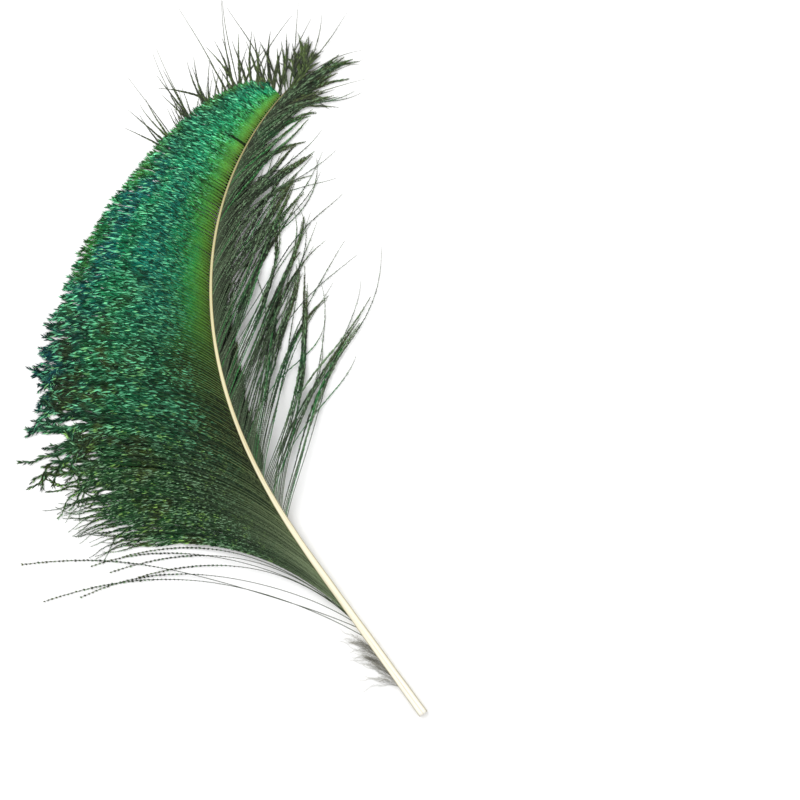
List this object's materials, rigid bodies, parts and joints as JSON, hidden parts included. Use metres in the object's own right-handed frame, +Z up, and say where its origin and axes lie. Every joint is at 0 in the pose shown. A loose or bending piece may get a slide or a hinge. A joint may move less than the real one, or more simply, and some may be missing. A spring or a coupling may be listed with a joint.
{
  "type": "peacock feather",
  "caption": "Curved peacock sword feather lying flat: ivory shaft, broad glossy green vane on the outer side, loose dark barbs on the inner side, wiry tuft at the tip.",
  "frame": {"origin": "middle of the feather's outline from above, on the surface that it lies on", "axes": "+Y along the feather's length towards the tip, +Z up out of the glossy side, +X towards the inner, loose side of the curve"},
  "size_m": [0.177, 0.3338, 0.0094],
  "materials": {
    "shaft_keratin": "smooth ivory keratin, satin",
    "glossy_barbs": "iridescent green barbs with a metallic gloss",
    "dark_barbs": "dark green-brown barbs, faint gloss",
    "tip_barbs": "olive wiry barbs",
    "grey_down": "matt grey down"
  },
  "bodies": {
    "root": {"shaft": "shaft_keratin", "broad_vane": "glossy_barbs", "loose_vane": "dark_barbs", "tip_tuft": "tip_barbs", "base_down": "grey_down"}
  },
  "joints": []
}
